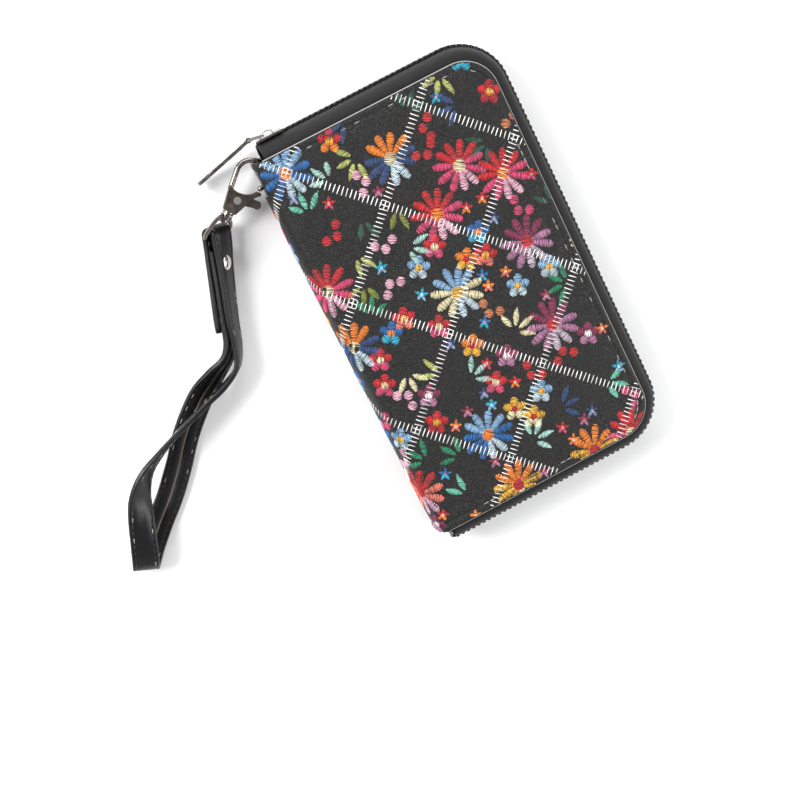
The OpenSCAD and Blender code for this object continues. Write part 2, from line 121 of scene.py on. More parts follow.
def set_world():
    """A studio that is bright all round the sides and darker overhead."""
    world = bpy.data.worlds.new("studio")
    world.use_nodes = True
    tree = world.node_tree
    place = tree.nodes.new("ShaderNodeTexCoord")
    split = tree.nodes.new("ShaderNodeSeparateXYZ")
    ramp = tree.nodes.new("ShaderNodeValToRGB")
    ramp.color_ramp.elements[0].position = 0.35
    ramp.color_ramp.elements[0].color = (0.98, 0.99, 1.0, 1)
    ramp.color_ramp.elements[1].position = 0.85
    ramp.color_ramp.elements[1].color = (0.42, 0.42, 0.43, 1)
    tree.links.new(place.outputs["Generated"], split.inputs["Vector"])
    tree.links.new(split.outputs["Z"], ramp.inputs["Fac"])
    tree.links.new(ramp.outputs["Color"], tree.nodes["Background"].inputs["Color"])
    tree.nodes["Background"].inputs["Strength"].default_value = 0.8
    bpy.context.scene.world = world
    bpy.context.scene.view_settings.view_transform = "Standard"


add_camera()
add_light("key", (-0.75, 0.65, 0.8), (0.6, 0.5), 18)
add_light("fill", (0.85, -0.55, 0.75), (0.6, 0.6), 11)
add_light("strip", (0.15, 1.0, 0.5), (0.9, 0.15), 7)
add_floor()
set_world()

# ---------------------------------------------------------------- materials


def srgb(code):
    values = [int(code[i:i + 2], 16) / 255 for i in (0, 2, 4)]
    return [v / 12.92 if v <= 0.04045 else ((v + 0.055) / 1.055) ** 2.4 for v in values]


def new_material(name, colour, roughness, metallic=0.0):
    mat = bpy.data.materials.new(name)
    mat.use_nodes = True
    shader = mat.node_tree.nodes["Principled BSDF"]
    shader.inputs["Base Color"].default_value = (*colour, 1)
    shader.inputs["Roughness"].default_value = roughness
    shader.inputs["Metallic"].default_value = metallic
    return mat, mat.node_tree, shader


def coordinates(tree, scale, turn=(0, 0, 0)):
    """Places in the object's own frame, times scale (a number or one for each axis)."""
    place = tree.nodes.new("ShaderNodeTexCoord")
    mapping = tree.nodes.new("ShaderNodeMapping")
    mapping.inputs["Scale"].default_value = scale if hasattr(scale, "__len__") else (scale,) * 3
    mapping.inputs["Rotation"].default_value = turn
    tree.links.new(place.outputs["Object"], mapping.inputs["Vector"])
    return mapping.outputs["Vector"]


def map_range(tree, source, low, high, from_low=0.0, from_high=1.0):
    made = tree.nodes.new("ShaderNodeMapRange")
    made.inputs["From Min"].default_value = from_low
    made.inputs["From Max"].default_value = from_high
    made.inputs["To Min"].default_value = low
    made.inputs["To Max"].default_value = high
    tree.links.new(source, made.inputs["Value"])
    return made.outputs["Result"]


def noise(tree, scale, detail=2.0, turn=(0, 0, 0)):
    """A noise texture's value over the object, at scale (a number or one for each axis)."""
    made = tree.nodes.new("ShaderNodeTexNoise")
    made.inputs["Scale"].default_value = 1.0
    made.inputs["Detail"].default_value = detail
    tree.links.new(coordinates(tree, scale, turn), made.inputs["Vector"])
    return made.outputs["Fac"]


def multiply(tree, a, b):
    made = tree.nodes.new("ShaderNodeMath")
    made.operation = "MULTIPLY"
    tree.links.new(a, made.inputs[0])
    tree.links.new(b, made.inputs[1])
    return made.outputs[0]


def mix_colours(tree, share, a, b):
    made = tree.nodes.new("ShaderNodeMix")
    made.data_type = "RGBA"
    made.inputs["A"].default_value = (*a, 1)
    made.inputs["B"].default_value = (*b, 1)
    tree.links.new(share, made.inputs["Factor"])
    return made.outputs["Result"]


def add_bump(tree, shader, height, strength, distance, under=None):
    bump = tree.nodes.new("ShaderNodeBump")
    bump.inputs["Strength"].default_value = strength
    bump.inputs["Distance"].default_value = distance
    tree.links.new(height, bump.inputs["Height"])
    if under is not None:
        tree.links.new(under, bump.inputs["Normal"])
    tree.links.new(bump.outputs["Normal"], shader.inputs["Normal"])
    return bump.outputs["Normal"]


def leather_material(name, dark, light, cell_mm, strength, rough=(0.36, 0.58), glint_amount=0.0):
    """Pebbled leather: rounded grains with their valleys painted darker as shade and their crowns lighter
    as highlight, a slow random change of tone, and light specks painted as glints.
    """
    mat, tree, shader = new_material(name, light, rough[0])
    grain = tree.nodes.new("ShaderNodeTexVoronoi")
    grain.feature = "SMOOTH_F1"
    grain.inputs["Smoothness"].default_value = 0.35
    grain.inputs["Scale"].default_value = 1.0
    tree.links.new(coordinates(tree, 1 / (cell_mm * MM)), grain.inputs["Vector"])
    folds = noise(tree, 1 / (6 * cell_mm * MM), 4)
    low = add_bump(tree, shader, folds, 0.25, 0.0006)
    rise = map_range(tree, grain.outputs["Distance"], 1.0, 0.0, 0.0, 0.7)
    add_bump(tree, shader, rise, strength, 0.00022, low)
    # Painted shade and highlight: the colour follows the grain's height, darker in the valleys and
    # lighter on the crowns, times a slow random tone from the folds noise.
    relief_shade_and_tone = multiply(tree, rise, map_range(tree, folds, 0.2, 1.3, 0.3, 0.7))
    # Painted glints: sparse light grey specks from a noise, standing in for light caught on the grain,
    # mixed over the colour through the crown mask.
    glint_noise = noise(tree, 1 / (0.8 * cell_mm * MM), 2, (0, 0, 0.8))
    crown = map_range(tree, glint_noise, 0.0, glint_amount, 0.56, 0.72)
    glint_mix = tree.nodes.new("ShaderNodeMix")
    glint_mix.data_type = "RGBA"
    glint_mix.inputs["B"].default_value = (0.11, 0.1, 0.092, 1)
    tree.links.new(mix_colours(tree, relief_shade_and_tone, dark, light), glint_mix.inputs["A"])
    tree.links.new(crown, glint_mix.inputs["Factor"])
    tree.links.new(glint_mix.outputs["Result"], shader.inputs["Base Color"])
    tree.links.new(map_range(tree, rise, rough[1], rough[0]), shader.inputs["Roughness"])
    shader.inputs["Specular IOR Level"].default_value = 0.34
    return mat


def woven_material(name, dark, light, thread_mm, turn=0.0, rough=(0.6, 0.85), sheen=0.3):
    """Cloth: two crossing sets of threads, with painted highlight on their crowns and painted shade
    between them.
    """
    mat, tree, shader = new_material(name, light, rough[1])
    waves = []
    for angle in (turn, turn + math.pi / 2):
        wave = tree.nodes.new("ShaderNodeTexWave")
        wave.inputs["Scale"].default_value = 1.0
        wave.inputs["Distortion"].default_value = 0.6
        wave.inputs["Detail Scale"].default_value = 0.4
        tree.links.new(coordinates(tree, 0.3 / (thread_mm * MM), (0, 0.5, angle)),
                       wave.inputs["Vector"])
        waves.append(wave.outputs["Fac"])
    both = multiply(tree, waves[0], waves[1])
    add_bump(tree, shader, both, 0.5, 0.00012)
    # Painted highlight and shade: the colour follows the weave's height, lighter where the threads rise,
    # darker in the gaps.
    tree.links.new(mix_colours(tree, both, dark, light), shader.inputs["Base Color"])
    tree.links.new(map_range(tree, both, rough[1], rough[0]), shader.inputs["Roughness"])
    shader.inputs["Sheen Weight"].default_value = sheen
    shader.inputs["Specular IOR Level"].default_value = 0.3
    return mat


def metal_material(name, colour, rough, scratch_mm=0.25, strength=0.05):
    """Polished plated metal with faint wear: soft smudges and fine scratches."""
    mat, tree, shader = new_material(name, colour, rough, 1.0)
    smudge = noise(tree, 1 / (3 * MM), 5)
    tree.links.new(map_range(tree, smudge, rough * 0.6, rough * 1.9, 0.3, 0.7),
                   shader.inputs["Roughness"])
    stretch = (1 / (scratch_mm * MM), 1 / (8 * scratch_mm * MM), 1 / (scratch_mm * MM))
    add_bump(tree, shader, noise(tree, stretch, 3, (0, 0, 0.6)), strength, 0.00005)
    return mat


def plastic_material(name, colour, rough):
    mat, tree, shader = new_material(name, colour, rough)
    grain = noise(tree, 1 / (0.4 * MM))
    add_bump(tree, shader, grain, 0.08, 0.00005)
    tree.links.new(map_range(tree, grain, rough * 0.8, rough * 1.25),
                   shader.inputs["Roughness"])
    return mat


def thread_material(name, colour, rough=0.48):
    mat, _, shader = new_material(name, colour, rough)
    shader.inputs["Sheen Weight"].default_value = 0.12
    return mat


# The black leather's last argument sets the share of painted glint specks.
BLACK_LEATHER = leather_material("black_leather", (0.002, 0.0019, 0.0019), (0.0105, 0.0098, 0.01),
                                 0.62, 0.8, glint_amount=0.55)
STRAP_LEATHER = leather_material("strap_leather", (0.003, 0.0028, 0.003), (0.012, 0.011, 0.012),
                                 0.5, 0.22, (0.26, 0.42))
POCKET_LEATHER = leather_material("pocket_leather", (0.004, 0.004, 0.0045), (0.02, 0.02, 0.022),
                                  0.8, 0.3, (0.4, 0.6))
BACKING = woven_material("pale_backing", (0.28, 0.27, 0.26), (0.55, 0.53, 0.52), 0.4)
TAPE_CLOTH = woven_material("zip_tape_cloth", (0.002, 0.002, 0.0023), (0.008, 0.008, 0.009), 0.35,
                            math.pi / 4, (0.5, 0.72), 0.04)
LINING_CLOTH = woven_material("lining_cloth", (0.006, 0.006, 0.007), (0.035, 0.035, 0.04), 0.35,
                              math.pi / 5)
BOARD = woven_material("grey_board", (0.2, 0.17, 0.12), (0.36, 0.31, 0.24), 0.9)
NICKEL = metal_material("nickel", (0.78, 0.76, 0.73), 0.16)
DARK_NICKEL = metal_material("dark_nickel", (0.24, 0.215, 0.195), 0.17)
BRUSHED_DARK = metal_material("brushed_dark_nickel", (0.13, 0.105, 0.09), 0.3, 0.12, 0.2)
TEETH_PLASTIC = plastic_material("teeth_plastic", (0.008, 0.008, 0.009), 0.32)
STITCH_THREAD = plastic_material("stitch_thread", (0.03, 0.03, 0.034), 0.28)
# Light grey thread given to some stitches at random: a painted glint, standing in for stitches that catch
# the light.
GLINT_THREAD = plastic_material("glint_stitch_thread", (0.42, 0.4, 0.38), 0.35)
SEAM_CORE = woven_material("seam_core", (0.14, 0.1, 0.07), (0.3, 0.22, 0.16), 0.3)

# ---------------------------------------------------------------- mesh helpers


def make(name, verts, faces, materials, face_material=None, smooth=True, closed=True):
    """A mesh object from millimetre points; a closed one gets its faces turned outwards."""
    mesh = bpy.data.meshes.new(name)
    mesh.from_pydata((np.asarray(verts, float) * MM).tolist(), [], [tuple(f) for f in faces])
    for mat in materials:
        mesh.materials.append(mat)
    if face_material is not None:
        mesh.polygons.foreach_set("material_index", np.asarray(face_material, np.int32))
    mesh.polygons.foreach_set("use_smooth", [smooth] * len(mesh.polygons))
    if closed:
        bm = bmesh.new()
        bm.from_mesh(mesh)
        bmesh.ops.recalc_face_normals(bm, faces=bm.faces)
        bm.to_mesh(mesh)
        bm.free()
    mesh.update()
    obj = bpy.data.objects.new(name, mesh)
    bpy.context.scene.collection.objects.link(obj)
    return obj


def bake_modifiers(obj):
    """Puts the modifiers' result into the mesh."""
    graph = bpy.context.evaluated_depsgraph_get()
    mesh = bpy.data.meshes.new_from_object(obj.evaluated_get(graph))
    obj.modifiers.clear()
    obj.data = mesh
    return obj


def unit(v):
    v = np.asarray(v, float)
    return v / np.linalg.norm(v)


def sweep(name, stations, section, material, closed_ends=True, face_material=None):
    """Sweeps a closed section, a list of (across, outward), along (point, across, out) stations."""
    m = len(section)
    verts = [p + a * q[0] + o * q[1] for p, a, o in stations for q in section]
    faces = []
    for i in range(len(stations) - 1):
        for k in range(m):
            n = (k + 1) % m
            faces.append((i * m + k, (i + 1) * m + k, (i + 1) * m + n, i * m + n))
    if closed_ends:
        last = (len(stations) - 1) * m
        faces.append(tuple(range(m)))
        faces.append(tuple(last + k for k in reversed(range(m))))
    materials = material if isinstance(material, list) else [material]
    return make(name, verts, faces, materials, face_material)


def tube(name, points, radius, material, sides=16, first_out=(0, 0, 1)):
    """A round wire along the points."""
    points = [np.asarray(p, float) for p in points]
    stations = []
    out = np.asarray(first_out, float)
    for i, p in enumerate(points):
        go = unit(points[min(i + 1, len(points) - 1)] - points[max(i - 1, 0)])
        out = unit(out - go * (out @ go))
        stations.append((p, np.cross(go, out), out))
    ring = [(radius * math.cos(2 * math.pi * k / sides), radius * math.sin(2 * math.pi * k / sides))
            for k in range(sides)]
    return sweep(name, stations, ring, material)


def lathe(name, centre, axis, profile, material, sides=40):
    """Turns (radius, height) points round an axis; the first and last lie on it."""
    axis = unit(axis)
    a = unit(np.cross(axis, (0.3, 0.5, 0.8)))
    b = np.cross(axis, a)
    verts, faces = [], []
    for r, h in profile:
        for k in range(sides):
            t = 2 * math.pi * k / sides
            verts.append(np.asarray(centre) + axis * h + (a * math.cos(t) + b * math.sin(t)) * r)
    for i in range(len(profile) - 1):
        for k in range(sides):
            n = (k + 1) % sides
            faces.append((i * sides + k, i * sides + n, (i + 1) * sides + n, (i + 1) * sides + k))
    faces.append(tuple(reversed(range(sides))))
    faces.append(tuple((len(profile) - 1) * sides + k for k in range(sides)))
    return make(name, verts, faces, [material])


def joined(name, objects):
    """Several meshes as one object, with their materials kept."""
    verts, faces, slots, mats = [], [], [], []
    for obj in objects:
        start = len(verts)
        verts += [np.array(v.co) / MM for v in obj.data.vertices]
        local = []
        for mat in obj.data.materials:
            if mat not in mats:
                mats.append(mat)
            local.append(mats.index(mat))
        for face in obj.data.polygons:
            faces.append([start + i for i in face.vertices])
            slots.append(local[face.material_index])
    for obj in objects:
        bpy.data.objects.remove(obj)
    return make(name, verts, faces, mats, slots)


# ---------------------------------------------------------------- the outer skin as one sheet

# The leather is one sheet: s runs across it from the middle of the spine (0), positive on the
# front half and negative on the back half, and y runs along the wallet.
SPINE_A = FOLD_X - SPINE_X
_angles = np.linspace(0, math.pi / 2, 400)
_steps = np.hypot(np.diff(SPINE_A * np.cos(_angles)), np.diff(MID_Z * np.sin(_angles)))
_arc = np.concatenate([[0], np.cumsum(_steps)])
HALF_SPINE = float(_arc[-1])
WIDE = HALF_SPINE + EDGE_X - FOLD_X
STITCH_INSET = 3.8
CUT_EDGE = 0.3


def section(s):
    """Place and outward direction, in X and Z, of the sheet at s."""
    a = np.abs(s)
    t = np.interp(a, _arc, _angles)
    flat = a > HALF_SPINE
    x = np.where(flat, FOLD_X + a - HALF_SPINE, FOLD_X - SPINE_A * np.cos(t))
    z = np.where(flat, TOP_Z, MID_Z + MID_Z * np.sin(t))
    nx = np.where(flat, 0.0, -MID_Z * np.cos(t))
    nz = np.where(flat, 1.0, SPINE_A * np.sin(t))
    size = np.hypot(nx, nz)
    sign = np.where(s < 0, -1.0, 1.0)
    return x, MID_Z + sign * (z - MID_Z), nx / size, sign * nz / size


def inset_of(s, y):
    """Distance in from the sheet's outline."""
    q = WIDE - np.abs(s)
    v = HALF_L - np.abs(y)
    corner = CORNER_R - np.hypot(np.maximum(CORNER_R - q, 0), np.maximum(CORNER_R - v, 0))
    return np.where((q < CORNER_R) & (v < CORNER_R), corner, np.minimum(q, v))


def rise_of(s, y):
    """Height of the skin over its plain shape: rolled margin, stitched groove, soft waves."""
    d = inset_of(s, y)
    edge = -0.55 * np.clip(1 - d / 0.8, 0, 1) ** 2
    roll = 0.32 * np.exp(-((d - 1.9) / 1.2) ** 2)
    groove = -0.3 * np.exp(-((d - STITCH_INSET) / 0.4) ** 2)
    puff = 0.25 * np.clip((d - STITCH_INSET) / 8, 0, 1)
    wave = 0.1 * np.sin(s / 13 + 1.3) * np.sin(y / 19 + 0.4) + 0.06 * np.sin(s / 7 - y / 9)
    return edge + roll + groove + puff + wave * np.clip(d / 6, 0, 1)


def lay(s, y, h=0.0):
    """Points on the skin, h above it."""
    s, y = np.asarray(s, float), np.asarray(y, float)
    x, z, nx, nz = section(s)
    lift = rise_of(s, y) + h
    return np.stack([x + nx * lift, y + 0 * s, z + nz * lift], -1)


def even(low, high, step):
    return list(np.linspace(low, high, max(2, int(round((high - low) / step)) + 1)))


def cover_sheet(name, sign, notch_s, notch_y):
    """One half of the skin: rings of points along the margin, then rows across the middle."""
    insets = [0, CUT_EDGE, 0.55, 0.9, 1.4, 2.0, 2.7, 3.2, 3.5, 3.8, 4.1, 4.4, 5.0, 6.0]
    keep = HALF_SPINE + 4
    columns = sorted(set(even(0, HALF_SPINE, 1.0) + [notch_s] + even(HALF_SPINE, keep, 1.0)
                         + even(keep, WIDE - CORNER_R, 2.0)))
    arc = [math.radians(90 - 5 * i) for i in range(18)]
    straight = even(-(HALF_L - CORNER_R), HALF_L - CORNER_R, 2.0)[::-1]

    def outline(d):
        r = CORNER_R - d
        cx, cy = WIDE - CORNER_R, HALF_L - CORNER_R
        top = [(c, HALF_L - d) for c in columns]
        side = [(cx + r * math.cos(t), cy + r * math.sin(t)) for t in arc[1:]]
        side += [(WIDE - d, y) for y in straight]
        side += [(cx + r * math.cos(t), -cy - r * math.sin(t)) for t in reversed(arc[1:])]
        return top + side + [(c, d - HALF_L) for c in reversed(columns)]

    points, faces = [], []
    per_ring = len(outline(0))
    for d in insets:
        points += outline(d)
    for i in range(len(insets) - 1):
        for k in range(per_ring - 1):
            a, b = i * per_ring + k, (i + 1) * per_ring + k
            faces.append((a, a + 1, b + 1, b))
    inner = (len(insets) - 1) * per_ring
    n = len(columns)
    side_count = per_ring - 2 * n
    rows = [[inner + i for i in range(n)]]
    for j in range(side_count):
        edge_index = inner + n + j
        s_end, y = points[edge_index]
        row = []
        for c in columns[:-1]:
            s = c if c <= keep else keep + (c - keep) * (s_end - keep) / (columns[-1] - keep)
            row.append(len(points))
            points.append((s, y))
        rows.append(row + [edge_index])
    rows.append([inner + per_ring - 1 - i for i in range(n)])
    for upper, lower in zip(rows, rows[1:]):
        for i in range(n - 1):
            faces.append((upper[i], upper[i + 1], lower[i + 1], lower[i]))
    points = np.array(points)
    kept, slots = [], []
    for i, f in enumerate(faces):
        s_mid, y_mid = points[list(f)].mean(0)
        if not (s_mid < notch_s and y_mid > notch_y):
            kept.append(f[::-1] if sign > 0 else f)
            slots.append(1 if i < per_ring - 1 and s_mid > HALF_SPINE + CUT_EDGE else 0)
    obj = make(name, lay(points[:, 0] * sign, points[:, 1]), kept, [BLACK_LEATHER, BACKING], slots,
               closed=False)
    thick = obj.modifiers.new("thickness", "SOLIDIFY")
    thick.thickness = LEATHER * MM
    thick.offset = -1
    thick.material_offset = 0
    thick.material_offset_rim = 1
    return bake_modifiers(obj)


NOTCH_Y = HALF_L - 15


def spine_s(z):
    """Distance along the spine from its middle to the height z."""
    return float(np.interp(math.asin(abs(z - MID_Z) / MID_Z), _angles, _arc))


front_skin = cover_sheet("front_leather", 1, spine_s(18), NOTCH_Y)
back_skin = cover_sheet("back_leather", -1, spine_s(5), NOTCH_Y)
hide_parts("front_cover")
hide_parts("back_cover", "spine_leather")


def bend_front(obj):
    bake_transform(obj)
    return obj


def bend_back(obj):
    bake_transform(obj)
    return obj


bend_front(front_skin)
bend_back(back_skin)

# ---------------------------------------------------------------- threads laid on the skin


class Threads:
    """Collects short raised threads and builds them as one object."""

    def __init__(self):
        self.rows = []
        self.mats = []

    def add(self, start, end, width, height, mat, ends=0.7):
        if mat not in self.mats:
            self.mats.append(mat)
        self.rows.append((*start, *end, width, height, self.mats.index(mat), ends))

    def build(self, name, place):
        """place(points) turns flat (u, v, height) rows into points of the frame."""
        data = np.array(self.rows, float)
        start, end = data[:, 0:2], data[:, 2:4]
        go = end - start
        size = np.maximum(np.linalg.norm(go, axis=1, keepdims=True), 1e-6)
        side = np.stack([-go[:, 1], go[:, 0]], 1) / size
        points = []
        for share, thick in ((0, None), (0.5, 1), (1, None)):
            full = data[:, 7] if thick is None else np.ones(len(data))
            mid = start + go * share
            half = side * (data[:, 4] * full / 2)[:, None]
            crown = data[:, 5] * (0.45 + 0.55 * (full - 0.4) / 0.6)
            for offset, high in ((-1, -0.06), (0, None), (1, -0.06)):
                flat = mid + half * offset
                level = crown if high is None else np.full(len(data), high)
                points.append(np.column_stack([flat, level]))
        verts = place(np.stack(points, 1).reshape(-1, 3))
        quads = [(0, 1, 4, 3), (1, 2, 5, 4), (2, 0, 3, 5), (3, 4, 7, 6), (4, 5, 8, 7), (5, 3, 6, 8)]
        caps = [(0, 2, 1), (6, 7, 8)]
        faces, slots = [], []
        for i in range(len(data)):
            base = 9 * i
            for f in quads + caps:
                faces.append([base + k for k in f])
                slots.append(int(data[i, 6]))
        return make(name, verts, faces, self.mats, slots)


def on_skin(points):
    return lay(points[:, 0], points[:, 1], points[:, 2])


COLOURS = {
    "white": "F4F2EE", "red": "CE1420", "crimson": "B40A1C", "pink": "DA4270", "blush": "EBB2C6",
    "orange": "F3841A", "amber": "E9B22C", "cream": "E9DDB0", "plum": "8E2452", "lilac": "B67A9E",
    "mist": "CDB9C9", "salmon": "EA7A66", "blue": "1269AE", "cyan": "1CACCB", "navy": "27477C",
    "slate": "8AA2C4", "sky": "86B2D6", "ice": "C0D4DE", "green": "15875C", "pine": "1C5240",
    "mint": "6CC3A8", "frost": "ABD5CB", "olive": "868E2C", "lime": "B7BE66", "moss": "59551C",
    "tan": "CC7C4C",
}
SHADES = (0.72, 1.0, 1.22)
_thread_mats = {}


def thread(colour):
    """One of three shades of a thread colour, at random."""
    key = (colour, random.choice((0, 1, 1, 2)))
    if key not in _thread_mats:
        base = [min(1.0, v * SHADES[key[1]]) for v in srgb(COLOURS[colour])]
        _thread_mats[key] = thread_material(f"thread_{colour}_{key[1]}", base)
    return _thread_mats[key]


# The quilted lattice is a square one, set corner down
LATTICE_AT = np.array([-44.0, 84.0])
CELL = 32.0
RIGHT_STEP = np.array([CELL, -CELL])
LEFT_STEP = np.array([-CELL, -CELL])
PRINT_TURN = -26.5
SHEET_SHIFT = HALF_SPINE - FOLD_X
TICK_LONG, TICK_PITCH, TICK_WIDE = 3.7, 1.95, 0.55
THREAD_GAP, THREAD_WIDE, THREAD_HIGH = 0.6, 0.5, 0.2
EDGE_CLEAR = 0.7

front_print, back_print = Threads(), Threads()


def off_the_print(p):
    in_notch = p[1] > NOTCH_Y and -spine_s(5) < p[0] < spine_s(18)
    outside = abs(p[0]) > WIDE or abs(p[1]) > HALF_L
    return in_notch or outside or inset_of(p[0], p[1]) < EDGE_CLEAR


def print_thread(a, b, width, height, mat, ends=0.7):
    """Lays one thread, cut short where it would pass the edge of the leather."""
    for _ in range(5):
        if off_the_print(a):
            a = a + (b - a) * 0.25
        if off_the_print(b):
            b = b + (a - b) * 0.25
    if off_the_print(a) or off_the_print(b) or np.hypot(*(b - a)) < 0.4:
        return
    sheet = front_print if a[0] + b[0] > 0 else back_print
    sheet.add(a, b, width, height, mat, ends)


def bearing(angle):
    """The direction at an angle, in degrees, on the turned print."""
    turn = math.radians(angle + PRINT_TURN)
    return np.array([math.cos(turn), math.sin(turn)])


def satin(at, angle, length, width, colour, shape, slant=90.0, gap=THREAD_GAP):
    """Fills a shape with cross threads; shape(t) is its half width, as a share, along its axis."""
    go, cross = bearing(angle), bearing(angle + slant)
    count = max(3, int(round(length / gap)))
    for i in range(count):
        t = (i + 0.5) / count
        half = width / 2 * shape(t) + random.uniform(-0.12, 0.12)
        wobble = math.radians(random.uniform(-7, 7))
        c, w = math.cos(wobble), math.sin(wobble)
        line = np.array([cross[0] * c - cross[1] * w, cross[0] * w + cross[1] * c])
        mid = at + go * (length * t + random.uniform(-0.08, 0.08))
        if half > 0.15:
            print_thread(mid - line * half, mid + line * half, THREAD_WIDE * random.uniform(0.85, 1.15),
                         THREAD_HIGH * random.uniform(0.8, 1.25), thread(colour))


def petal_shape(t):
    swell = 0.42 + 0.58 * math.sin(math.pi * min(t * 0.72, 0.5))
    tip = max(0, (t - 0.72) / 0.29)
    return swell * math.sqrt(max(0, 1 - tip ** 2))


def round_shape(t):
    return math.sqrt(max(0.0, 1 - (2 * t - 1) ** 2))


def leaf_shape(t):
    return math.sin(math.pi * min(0.97, t + 0.04)) ** 0.7


def disc(at, radius, colour, angle=90.0):
    satin(at - radius * bearing(angle), angle, 2 * radius, 2 * radius, colour, round_shape)


DAISY_COLOURS = {
    "rose": ("red", "pink", "blush", "orange"), "rosette": ("red", "pink", "blush", "cream"),
    "sun": ("orange", "amber", "cream", "red"), "flame": ("red", "salmon", "blush", "crimson"),
    "lilac": ("plum", "lilac", "mist", "red"), "sky": ("sky", "blue", "ice", "orange"),
    "frost": ("sky", "cream", "ice", "amber"), "night": ("orange", "navy", "ice", "cream"),
}


DAISY_EYE = 2.4


def daisy(at, kind, radius=11.8):
    """Eleven petals, their colour running from the top round to the bottom, and a round centre."""
    top, side, low, centre = DAISY_COLOURS[kind]
    ring = [top, top, top, side if kind != "rose" else top, side, side, low, low, side, side, top]
    petals = 11
    for i, colour in enumerate(ring):
        angle = 90 + 360 * i / petals + random.uniform(-3, 3)
        length = radius - DAISY_EYE + random.uniform(-0.6, 0.5)
        satin(at + DAISY_EYE * bearing(angle), angle, length, 3.45, colour, petal_shape)
    disc(at, 2.9, centre)


BLOSSOM_COLOURS = {
    "blue": ("blue", "cyan", "orange"), "orange": ("orange", "amber", "crimson"),
    "red": ("red", "crimson", "amber"), "pink": ("red", "pink", "cream"),
    "salmon": ("red", "salmon", "amber"), "sky": ("sky", "ice", "amber"),
    "plum": ("plum", "lilac", "white"), "flame": ("red", "orange", "amber"),
    "straw": ("amber", "cream", "crimson"),
}


def blossom(at, kind, radius=5.2):
    high, low, centre = BLOSSOM_COLOURS[kind]
    tilt = random.uniform(-6, 6)
    for i in range(5):
        angle = 90 + 72 * i + tilt
        start = at + radius * 0.25 * bearing(angle)
        satin(start, angle, radius * 0.78, radius * 0.74, high if i in (0, 1, 4) else low, round_shape)
    disc(at, radius * 0.33, centre, 0)


STAR_COLOURS = {
    "orange": ("orange", "salmon", "white"), "red": ("red", "pink", "cream"),
    "plum": ("plum", "lilac", "orange"), "blue": ("blue", "cyan", "orange"),
    "slate": ("navy", "slate", "blush"), "flame": ("red", "orange", "white"),
    "sky": ("cyan", "sky", "white"),
}


def star(at, kind, radius=3.2):
    high, low, centre = STAR_COLOURS[kind]
    tilt = random.uniform(-10, 10)
    for i in range(5):
        angle = 90 + 72 * i + tilt
        satin(at, angle, radius, 1.5, high if i in (0, 1, 4) else low, leaf_shape, 80, 0.5)
    disc(at, 0.6, centre)


def berry_sprig(at, colour):
    """Three berries along a short arc."""
    lean = random.uniform(0, 360)
    for i in range(3):
        turn = math.radians(lean + 70 * i)
        spot = at + 4.4 * np.array([math.cos(turn), math.sin(turn)])
        disc(spot, 2.1, colour, random.uniform(70, 110))


def leaf_spray(at, colour):
    """A fan of leaves from one stem."""
    lean, count = random.uniform(0, 360), random.choice((2, 3, 3, 4))
    for i in range(count):
        angle = lean + 46 * (i - (count - 1) / 2)
        stem = at + 2.6 * bearing(angle)
        satin(stem, angle, random.uniform(6.5, 8.5), 3.0, colour, leaf_shape, 66)


# Each motif: how it is drawn, the room it takes (radius), how many, and its colourways
MOTIFS = [
    (daisy, 10.4, 30, tuple(DAISY_COLOURS)),
    (blossom, 5.0, 52, tuple(BLOSSOM_COLOURS)),
    (leaf_spray, 7.4, 50, ("green", "mint", "olive", "lime", "cream", "navy", "frost", "pine")),
    (berry_sprig, 5.4, 26, ("red", "pink", "blush", "red", "tan")),
    (star, 3.0, 80, tuple(STAR_COLOURS)),
]
MOTIF_OVERLAP = 0.84
DARTS = 400


def draw_motifs():
    """Scatters the motifs, largest first: each takes the first free place that a dart finds."""
    taken = []
    for draw, room, count, kinds in MOTIFS:
        for i in range(count):
            for _ in range(DARTS):
                at = np.array([random.uniform(-WIDE, WIDE), random.uniform(-HALF_L, HALF_L)])
                free = all(np.hypot(*(at - p)) > MOTIF_OVERLAP * (room + r) for p, r in taken)
                if free:
                    taken.append((at, room))
                    draw(at, kinds[i % len(kinds)])
                    break


def draw_lattice():
    """White ticks across every lattice line."""
    lines, reach = range(-6, 8), 9
    for steps, along, other in ((lines, RIGHT_STEP, LEFT_STEP), (lines, LEFT_STEP, RIGHT_STEP)):
        go = unit(along)
        side = np.array([-go[1], go[0]])
        for k in steps:
            start = LATTICE_AT + other * k - along * reach
            count = int(2 * reach * np.linalg.norm(along) / TICK_PITCH)
            for i in range(count):
                mid = start + go * TICK_PITCH * i + np.array([SHEET_SHIFT, 0])
                if abs(mid[0]) > WIDE + 3 or abs(mid[1]) > HALF_L + 3:
                    continue
                half = side * (TICK_LONG / 2 + random.uniform(-0.25, 0.2))
                lean = go * random.uniform(-0.12, 0.12)
                print_thread(mid - half - lean, mid + half + lean, TICK_WIDE, 0.24, thread("white"), 0.85)


draw_motifs()
draw_lattice()
bend_front(front_print.build("front_embroidery", on_skin))
bend_back(back_print.build("back_embroidery", on_skin))

# ---------------------------------------------------------------- zip: path, tape and teeth

TAPE_END_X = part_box("front_zip_tape_top")[0].x / MM
TAPE_OUT = 6.0
TEETH_PITCH = 2.7


